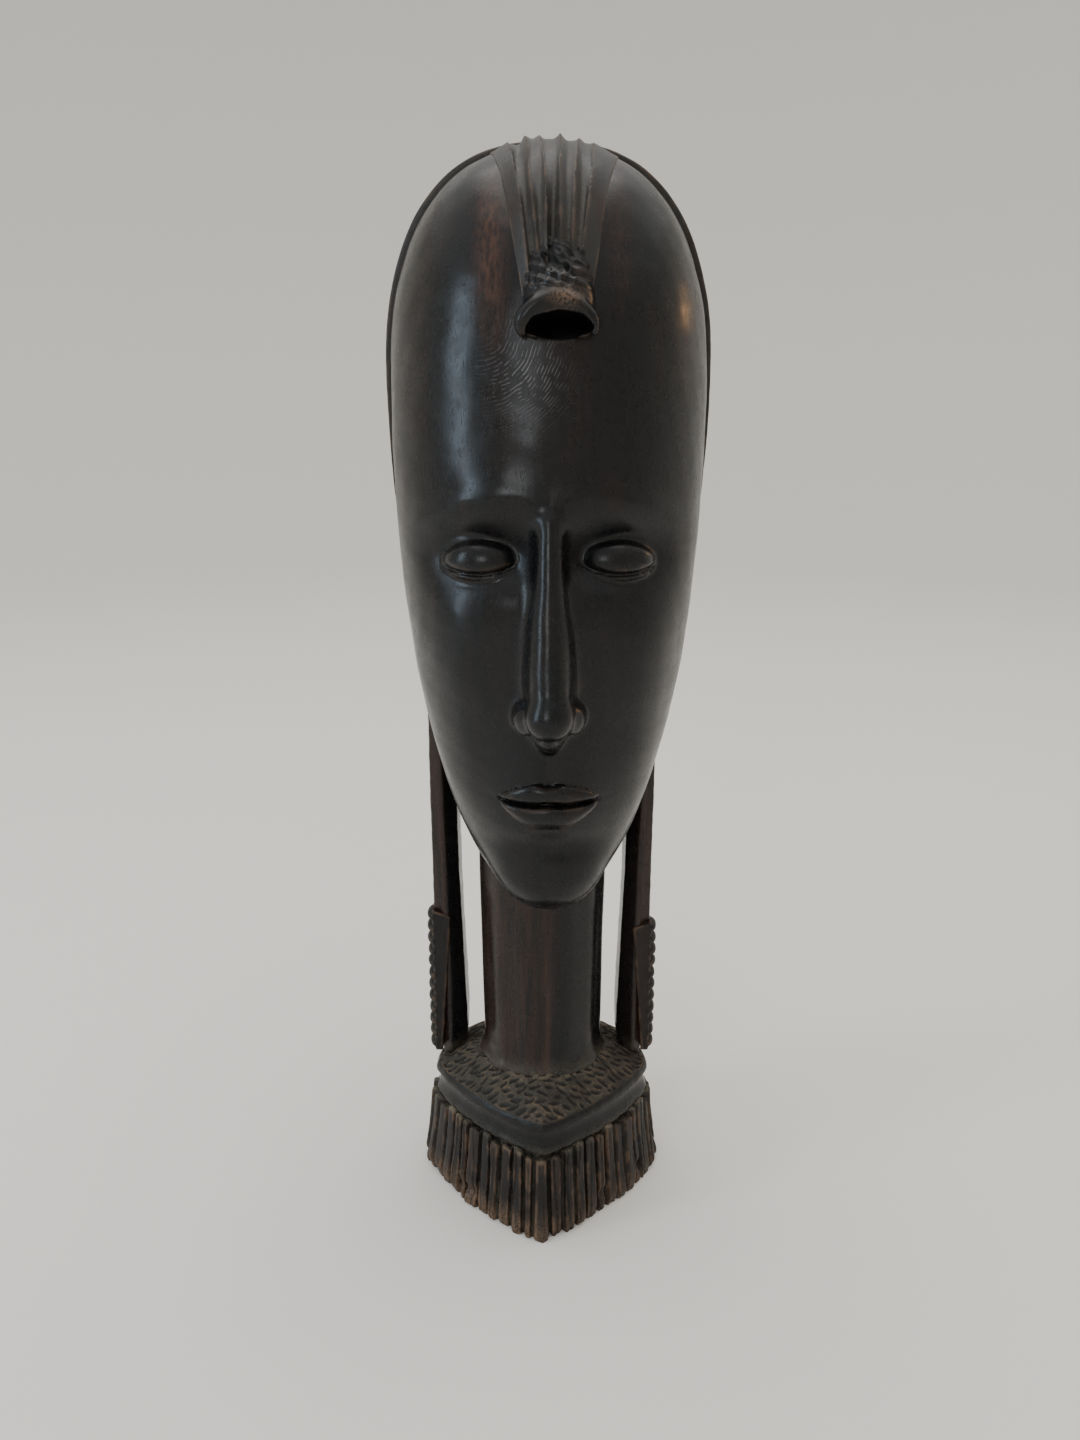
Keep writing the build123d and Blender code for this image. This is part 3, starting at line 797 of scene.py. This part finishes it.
MARKS = {
    # mark torn: on the head it is painted shade inside the knot's hollow; on the knot it is torn wood
    # plus that painted shade
    "head": {"streak": head_streak, "scuff": head_scuff, "torn": painted_hollow_shade},
    "forehead_knot": {"rub": knot_rub, "torn": knot_torn_and_hollow_shade},
    "neck": {"streak": neck_streak, "settle": neck_settle},
    "ear_lobe_right": {"streak": lobe_streak, "settle": lobe_settle},
    "ear_lobe_left": {"streak": lobe_streak, "settle": lobe_settle},
    "fringe_skirt": {"rub": skirt_rub, "settle": skirt_settle},
    "collar_band": {"settle": band_settle},
    "shoulder_cap": {"settle": cap_settle, "smooth": cap_smooth},
}


# ---------------------------------------------------------------- materials
def feed(tree, socket, value):
    """Feeds a socket from another socket, or sets it to a plain value."""
    if isinstance(value, bpy.types.NodeSocket):
        tree.links.new(value, socket)
    else:
        socket.default_value = value


def add_node(tree, kind, inputs=None, **settings):
    """Adds a shader node with its settings, and feeds its inputs by name."""
    made = tree.nodes.new("ShaderNode" + kind)
    for name, value in settings.items():
        setattr(made, name, value)
    for name, value in (inputs or {}).items():
        feed(tree, made.inputs[name], value)
    return made


def noise(tree, place, per_mm, detail, distortion=0.0):
    """Noise from 0 to 1, with a few waves in each millimetre."""
    inputs = {"Vector": place, "Scale": per_mm, "Detail": detail, "Distortion": distortion}
    return add_node(tree, "TexNoise", inputs).outputs["Fac"]


def spread(tree, value, low, high, to_low=0.0, to_high=1.0):
    """The value's stretch from low to high, taken smoothly to other limits."""
    inputs = {"Value": value, "From Min": low, "From Max": high, "To Min": to_low, "To Max": to_high}
    return add_node(tree, "MapRange", inputs, interpolation_type="SMOOTHSTEP").outputs["Result"]


def maths(tree, operation, first, second):
    """Sum, difference or product of two values. A sum stays between 0 and 1."""
    made = add_node(tree, "Math", operation=operation, use_clamp=operation == "ADD")
    feed(tree, made.inputs[0], first)
    feed(tree, made.inputs[1], second)
    return made.outputs[0]


MIX_SHARE, MIX_FIRST, MIX_SECOND, MIX_COLOUR = 0, 6, 7, 2  # sockets of a colour mix


def mix(tree, share, first, second):
    """Colour that goes from the first to the second with the share."""
    made = add_node(tree, "Mix", data_type="RGBA")
    for index, value in ((MIX_SHARE, share), (MIX_FIRST, first), (MIX_SECOND, second)):
        feed(tree, made.inputs[index], value)
    return made.outputs[MIX_COLOUR]


def mark(tree, name):
    """Value of one of the piece's marks."""
    return add_node(tree, "Attribute", attribute_name=name).outputs["Fac"]


# Colours of the wood and of what lies on it
BROWN_HEART = (0.022, 0.012, 0.009, 1)
RED_HEART = (0.055, 0.026, 0.017, 1)
WORN_BROWN = (0.150, 0.092, 0.056, 1)
DUST = (0.165, 0.147, 0.108, 1)
# near black: torn wood, pores and the dark rim, and also painted shade in the hollows and inside the
# knot's hollow
BLACK_WOOD_AND_SHADE = (0.0035, 0.0033, 0.0035, 1)
SCRATCHED = (0.200, 0.200, 0.205, 1)
SCRATCH_CENTRE = (-16, -42, 214)  # the arc scratches run round it


def wood_noises(tree):
    """Noises of the wood by name, from its wide figure down to its pores, and the place in mm."""
    place = add_node(tree, "TexCoord").outputs["Object"]

    def stretched(along):
        return add_node(tree, "Mapping", {"Vector": place, "Scale": (1000, 1000, along)}).outputs[0]

    even, grain, pores = stretched(1000), stretched(45), stretched(130)
    return {
        "even": even,
        "figure": noise(tree, grain, 0.14, 5.0, 0.5),
        "lines": noise(tree, grain, 1.3, 4.0, 0.3),
        "patches": noise(tree, even, 0.22, 4.0),
        "speckle": noise(tree, even, 1.9, 3.0),
        "broken": noise(tree, even, 0.65, 2.0),
        "pore": spread(tree, noise(tree, pores, 4.5, 1.0), 0.62, 0.72),
    }


def worn_share(tree, noises, wear):
    """Where the edges are worn brown, and where the piece is rubbed."""
    lines = spread(tree, noises["lines"], 0.28, 0.50, 0.2, 1.0)
    flecks = maths(tree, "MULTIPLY", spread(tree, noises["speckle"], 0.34, 0.54), lines)
    rubbed = maths(tree, "MULTIPLY", mark(tree, "rub"), flecks)
    patches = spread(tree, noises["patches"], 0.42, 0.64, 0.08, 1.0)
    edges = maths(tree, "MULTIPLY", mark(tree, "edge"), patches)
    edges = maths(tree, "MULTIPLY", edges, wear)
    return maths(tree, "ADD", edges, maths(tree, "MULTIPLY", rubbed, 0.75))


def dusty_share(tree, noises, hollow, hollow_dust, dust):
    """Where dust lies: some in the hollows, and some where the piece has it settled."""
    patches = spread(tree, noises["patches"], 0.36, 0.62, 0.3 * hollow_dust, hollow_dust)
    in_hollows = maths(tree, "MULTIPLY", hollow, patches)
    patches = spread(tree, noises["patches"], 0.32, 0.60, 0.3, 1.0)
    settled = maths(tree, "MULTIPLY", mark(tree, "settle"), patches)
    settled = maths(tree, "MULTIPLY", settled, maths(tree, "SUBTRACT", 1.0, hollow))
    grains = spread(tree, noises["speckle"], 0.30, 0.62, 0.3 * dust, dust)
    return maths(tree, "MULTIPLY", maths(tree, "ADD", in_hollows, settled), grains)


def scratch_share(tree, noises):
    """Fine broken arc scratches where the piece is scuffed."""
    shift = tuple(-place for place in SCRATCH_CENTRE)
    around = add_node(tree, "Mapping", {"Vector": noises["even"], "Location": shift}).outputs[0]
    inputs = {"Vector": around, "Scale": 0.48, "Distortion": 16.0, "Detail": 3.0, "Detail Scale": 0.20}
    rings = add_node(tree, "TexWave", inputs, wave_type="RINGS", rings_direction="SPHERICAL")
    lines = spread(tree, rings.outputs["Fac"], 0.70, 0.98)
    arcs = maths(tree, "MULTIPLY", lines, spread(tree, noises["broken"], 0.42, 0.58))
    return maths(tree, "MULTIPLY", arcs, mark(tree, "scuff"))


def wood_colour(tree, noises, dark, brown_share, shares):
    """Heartwood, then streaks, worn edges, painted shade in the hollows, dust, torn wood with painted
    shade in the knot's hollow, pores and scratches.
    """
    figure = spread(tree, noises["figure"], 0.46, 0.70, 0.0, brown_share)
    colour = mix(tree, figure, dark, BROWN_HEART)
    lines = spread(tree, noises["lines"], 0.34, 0.62, 0.25, 1.0)
    colour = mix(tree, maths(tree, "MULTIPLY", mark(tree, "streak"), lines), colour, RED_HEART)
    colour = mix(tree, shares["worn"], colour, WORN_BROWN)
    # painted shade: the hollows are darkened towards black
    colour = mix(tree, maths(tree, "MULTIPLY", shares["hollow"], 0.7), colour, BLACK_WOOD_AND_SHADE)
    colour = mix(tree, shares["dusty"], colour, DUST)
    # torn wood darkened, and painted shade inside the knot's hollow
    splinters = spread(tree, noises["speckle"], 0.35, 0.60, 1.0, 0.5)
    colour = mix(tree, maths(tree, "MULTIPLY", shares["torn"], splinters), colour, BLACK_WOOD_AND_SHADE)
    colour = mix(tree, maths(tree, "MULTIPLY", noises["pore"], 0.4), colour, BLACK_WOOD_AND_SHADE)
    colour = mix(tree, maths(tree, "MULTIPLY", shares["scratch"], 0.6), colour, SCRATCHED)
    return mix(tree, maths(tree, "MULTIPLY", shares["smooth"], 0.9), colour, BLACK_WOOD_AND_SHADE)


def wood_roughness(tree, noises, roughness, shares):
    """Satin wood, rougher where it is porous, worn, dusty, torn or scuffed."""
    rough = spread(tree, noises["patches"], 0.35, 0.65, roughness - 0.02, roughness + 0.04)
    rougher = (
        (noises["pore"], 0.08), (shares["worn"], 0.15), (shares["dusty"], 0.45),
        (shares["torn"], 0.40), (mark(tree, "scuff"), 0.10),
    )
    for share, amount in rougher:
        rough = maths(tree, "ADD", rough, maths(tree, "MULTIPLY", share, amount))
    return maths(tree, "SUBTRACT", rough, maths(tree, "MULTIPLY", shares["smooth"], 0.28))


def wood_bumps(tree, noises, scratch, relief):
    """Fine relief of the grain, up to the relief in mm."""
    height = maths(tree, "MULTIPLY", noises["lines"], 0.35)
    height = maths(tree, "ADD", height, maths(tree, "MULTIPLY", noises["speckle"], 0.25))
    height = maths(tree, "SUBTRACT", height, maths(tree, "MULTIPLY", noises["pore"], 0.25))
    height = maths(tree, "SUBTRACT", height, maths(tree, "MULTIPLY", scratch, 0.60))
    inputs = {"Height": height, "Strength": 1.0, "Distance": relief * MM}
    return add_node(tree, "Bump", inputs).outputs["Normal"]


def blackwood(name, dark, brown_share, wear, hollow_dust, dust, roughness, relief):
    """Near-black heartwood with grain along Z, red streaks, worn edges, and dust and painted shade in
    its hollows.
    """
    material = bpy.data.materials.new(name)
    material.use_nodes = True
    tree = material.node_tree
    noises = wood_noises(tree)
    hollow = mark(tree, "hollow")
    shares = {
        "worn": worn_share(tree, noises, wear),
        "hollow": hollow,
        "dusty": dusty_share(tree, noises, hollow, hollow_dust, dust),
        "torn": mark(tree, "torn"),
        "scratch": scratch_share(tree, noises),
        "smooth": mark(tree, "smooth"),
    }
    shader = tree.nodes["Principled BSDF"]
    feed(tree, shader.inputs["Base Color"], wood_colour(tree, noises, dark, brown_share, shares))
    feed(tree, shader.inputs["Roughness"], wood_roughness(tree, noises, roughness, shares))
    feed(tree, shader.inputs["Normal"], wood_bumps(tree, noises, shares["scratch"], relief))
    shader.inputs["Specular IOR Level"].default_value = 0.27
    return material


MATERIALS = {
    "polished_blackwood": blackwood(
        "polished_blackwood", dark=(0.0036, 0.0040, 0.0046, 1), brown_share=0.26, wear=0.20,
        hollow_dust=0.08, dust=0.30, roughness=0.26, relief=0.035),
    "combed_blackwood": blackwood(
        "combed_blackwood", dark=(0.0225, 0.0208, 0.0192, 1), brown_share=0.90, wear=0.35,
        hollow_dust=0.40, dust=0.50, roughness=0.38, relief=0.10),
    "worn_blackwood": blackwood(
        "worn_blackwood", dark=(0.0070, 0.0064, 0.0062, 1), brown_share=0.60, wear=0.50,
        hollow_dust=0.25, dust=1.00, roughness=0.46, relief=0.18),
    "dusty_blackwood": blackwood(
        "dusty_blackwood", dark=(0.0180, 0.0165, 0.0135, 1), brown_share=0.60, wear=0.50,
        hollow_dust=0.06, dust=0.75, roughness=0.60, relief=0.22),
}


# ---------------------------------------------------------------- carving every member
def carve_all():
    """Carves every member: its field, the pitch of its mesh in mm and its material slot."""
    fields = {
        "head": (head_field, 0.62, "polished_blackwood"),
        "hair_cap": (hair_field, 0.5, "combed_blackwood"),
        "hair_crest": (crest_field, 0.3, "combed_blackwood"),
        "forehead_knot": (knot_field, 0.25, "polished_blackwood"),
        "ear_right": (ear_field(1), 0.35, "polished_blackwood"),
        "ear_left": (ear_field(-1), 0.35, "polished_blackwood"),
        "ear_lobe_right": (lobe_field, (0.4, 0.4, 0.7), "polished_blackwood"),
        "ear_lobe_left": (mirrored(lobe_field), (0.4, 0.4, 0.7), "polished_blackwood"),
        "bead_drop_right": (bead_field(11), 0.25, "worn_blackwood"),
        "bead_drop_left": (mirrored(bead_field(12)), 0.25, "worn_blackwood"),
        "neck": (neck_field, (0.5, 0.5, 0.9), "polished_blackwood"),
        "shoulder_cap": (cap_field, 0.32, "dusty_blackwood"),
        "collar_band": (band_field, 0.45, "polished_blackwood"),
        "fringe_skirt": (skirt_field, (0.34, 0.34, 0.6), "worn_blackwood"),
    }
    room = 6.0  # searched round each CAD box
    for node, (field, pitch, slot) in fields.items():
        low, high = box_mm(node)
        piece = carve(f"{node}_carved", field, low - room, high + room, pitch, MARKS.get(node, {}))
        piece.data.materials.append(MATERIALS[slot])
        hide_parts(node)


carve_all()


# ---------------------------------------------------------------- studio
def studio_floor():
    """Pale floor that curves up all round, so that no edge shows from any side."""
    flat, rim, height = 1.3, 2.3, 1.6
    flat_rings, rising_rings, sides = 6, 12, 96
    rings = [(flat * n / flat_rings, 0.0) for n in range(1, flat_rings + 1)]
    for n in range(1, rising_rings + 1):
        turn = math.pi / 2 * n / rising_rings
        rings.append((flat + (rim - flat) * math.sin(turn), height * (1 - math.cos(turn))))
    vertices = [(0, 0, 0)]
    for radius, level in rings:
        for i in range(sides):
            turn = 2 * math.pi * i / sides
            vertices.append((radius * math.cos(turn), radius * math.sin(turn), level))
    faces = [(0, 1 + i, 1 + (i + 1) % sides) for i in range(sides)]
    for ring in range(len(rings) - 1):
        a, b = 1 + ring * sides, 1 + (ring + 1) * sides
        faces += [(a + i, b + i, b + (i + 1) % sides, a + (i + 1) % sides) for i in range(sides)]
    mesh = bpy.data.meshes.new("studio_floor")
    mesh.from_pydata(vertices, [], faces)
    mesh.polygons.foreach_set("use_smooth", [True] * len(mesh.polygons))
    floor = bpy.data.objects.new("studio_floor", mesh)
    bpy.context.scene.collection.objects.link(floor)
    material = bpy.data.materials.new("pale_floor")
    material.use_nodes = True
    shader = material.node_tree.nodes["Principled BSDF"]
    shader.inputs["Base Color"].default_value = (0.76, 0.74, 0.70, 1)
    shader.inputs["Roughness"].default_value = 0.9
    shader.inputs["Specular IOR Level"].default_value = 0.2
    mesh.materials.append(material)


def soft_light(name, place, target, size, watts, colour):
    """Rectangular lamp turned to its target."""
    light = bpy.data.lights.new(name, "AREA")
    light.shape = "RECTANGLE"
    light.size, light.size_y = size
    light.energy = watts
    light.color = colour
    lamp = bpy.data.objects.new(name, light)
    lamp.location = place
    lamp.rotation_euler = (Vector(target) - Vector(place)).to_track_quat("-Z", "Y").to_euler()
    bpy.context.scene.collection.objects.link(lamp)


def studio():
    """Pale floor and room, two windows, light from above and a small warm lamp."""
    studio_floor()
    aim = (0, 0, 0.15)
    soft_light("window_left", (-1.12, -0.42, 0.48), aim, (0.24, 0.70), 5, (0.64, 0.82, 1.0))
    soft_light("window_front", (-0.33, -1.02, 0.48), aim, (0.30, 0.34), 2.0, (0.90, 0.95, 1.0))
    soft_light("overhead", (0.0, 0.1, 1.3), aim, (1.2, 1.2), 10, (1.0, 0.98, 0.95))
    soft_light("lamp_right", (0.83, 0.50, 0.44), aim, (0.020, 0.028), 0.30, (1.0, 0.52, 0.20))
    world = bpy.data.worlds.new("pale_room")
    world.use_nodes = True
    world.node_tree.nodes["Background"].inputs["Color"].default_value = (0.95, 0.94, 0.92, 1)
    world.node_tree.nodes["Background"].inputs["Strength"].default_value = 0.95
    bpy.context.scene.world = world


def camera():
    """Wide lens close in front, pitched down."""
    place = (-0.0005, -0.2546, 0.1924)
    pitch = math.radians(15)
    data = bpy.data.cameras.new("camera")
    data.lens = 27
    data.sensor_width = 36
    data.clip_start = 0.01
    eye = bpy.data.objects.new("camera", data)
    eye.location = place
    eye.rotation_euler = (math.pi / 2 - pitch, 0, 0)
    bpy.context.scene.collection.objects.link(eye)
    bpy.context.scene.camera = eye


studio()
camera()
